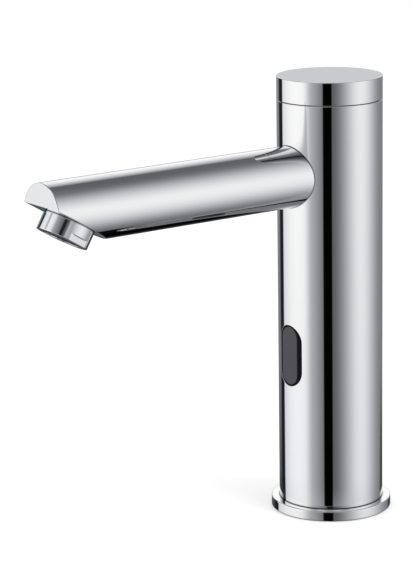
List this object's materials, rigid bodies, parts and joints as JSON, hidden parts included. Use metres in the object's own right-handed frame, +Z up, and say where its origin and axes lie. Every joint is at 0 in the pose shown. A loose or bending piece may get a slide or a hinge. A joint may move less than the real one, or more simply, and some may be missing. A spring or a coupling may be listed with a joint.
{
  "type": "sensor tap",
  "caption": "Chrome deck-mounted basin tap with a round upright body, a sensor window low on its front, a screwed flat cap, a level round spout and a slanted outlet with an aerator.",
  "frame": {"origin": "centre of the base flange's underside, on the deck, on the body's axis and midway between the two fixing holes", "axes": "+Z up along the body; -Y forwards along the spout; +X to the right of someone who looks along +Y at the sensor window"},
  "size_m": [0.0554, 0.1826, 0.202],
  "materials": {
    "mirror_chrome": "polished",
    "bezel_black": "satin",
    "lens_grey": "gloss",
    "grid_plastic": "matte",
    "machined_brass": "machined",
    "stainless": "satin",
    "black_rubber": "matte",
    "black_plastic": "matte",
    "white_plastic": "matte",
    "copper_wire": "enamelled",
    "magnet": "plated",
    "board_green": "satin",
    "diode_clear": "gloss",
    "diode_dark": "gloss",
    "cell_sleeve": "satin",
    "lead_red": "matte",
    "lead_black": "matte"
  },
  "bodies": {
    "body": {"base_flange": "mirror_chrome", "base_plug": "machined_brass", "base_seal": "black_rubber", "battery_cells": "cell_sleeve", "battery_contacts": "stainless", "battery_lead": "lead_black", "battery_lid": "white_plastic", "battery_tray": "white_plastic", "body_tube": "mirror_chrome", "bonnet_screws": "stainless", "case_screws": "stainless", "chassis": "black_plastic", "check_valve_body": "white_plastic", "check_valve_guide": "white_plastic", "check_valve_spring": "stainless", "circuit_board": "board_green", "coil_bobbin": "black_plastic", "coil_core": "stainless", "coil_lead": "lead_red", "coil_winding": "copper_wire", "coil_yoke": "stainless", "core_nut": "stainless", "diaphragm": "black_rubber", "infrared_emitter": "diode_clear", "infrared_receiver": "diode_dark", "inlet_filter": "stainless", "inlet_tube": "stainless", "latch_magnet": "magnet", "lens_bezel": "bezel_black", "outlet_tube": "stainless", "passage_plug": "machined_brass", "plunger_spring": "stainless", "saddle_washer": "black_plastic", "sensor_case": "black_plastic", "sensor_lens": "lens_grey", "spout": "mirror_chrome", "spout_elbow": "machined_brass", "spout_seal": "black_rubber", "tube_seals": "black_rubber", "valve_block": "machined_brass", "valve_bonnet": "black_plastic"},
    "cap_ring": {"cap_seal": "black_rubber"},
    "cap": {"top_cap": "mirror_chrome"},
    "outlet_core": {"aerator_washer": "black_rubber", "aerator_insert": "grid_plastic", "aerator_grid": "grid_plastic"},
    "outlet_housing": {"aerator_housing": "mirror_chrome"},
    "plunger": {"plunger": "stainless", "plunger_seal": "black_rubber"},
    "diaphragm_middle": {"diaphragm_insert": "black_plastic"},
    "check_poppet": {"check_valve_poppet": "white_plastic"}
  },
  "joints": [
    {"name": "cap_lift", "type": "slide", "parent": "body", "child": "cap_ring", "axis": [0, 0, 1], "range_m": [0, 0.006]},
    {"name": "cap_turn", "type": "hinge", "parent": "cap_ring", "child": "cap", "pos_m": [0, 0, 0.1915], "axis": [0, 0, 1], "range_deg": [0, 1440]},
    {"name": "outlet_slide", "type": "slide", "parent": "body", "child": "outlet_core", "axis": [0, -0.512, -0.859], "range_m": [0, 0.006]},
    {"name": "outlet_turn", "type": "hinge", "parent": "outlet_core", "child": "outlet_housing", "pos_m": [0, -0.14066, 0.15401], "axis": [0, -0.512, -0.859], "range_deg": [0, 2160]},
    {"name": "plunger_lift", "type": "slide", "parent": "body", "child": "plunger", "axis": [0, 0, 1], "range_m": [0, 0.002], "stiffness_N_per_m": 150, "springref_m": -0.01, "deforming": ["plunger_spring"]},
    {"name": "diaphragm_lift", "type": "slide", "parent": "body", "child": "diaphragm_middle", "axis": [0, 0, 1], "range_m": [0, 0.0014], "deforming": ["diaphragm"]},
    {"name": "check_valve_lift", "type": "slide", "parent": "body", "child": "check_poppet", "axis": [0, 0, 1], "range_m": [0, 0.0025], "stiffness_N_per_m": 100, "springref_m": -0.005, "deforming": ["check_valve_spring"]}
  ],
  "couplings": [
    {"joint": "cap_lift", "follows": "cap_turn", "m_per_rad": 0.00023873},
    {"joint": "outlet_slide", "follows": "outlet_turn", "m_per_rad": 0.00015915},
    {"joint": "diaphragm_lift", "follows": "plunger_lift", "ratio": 0.7}
  ]
}
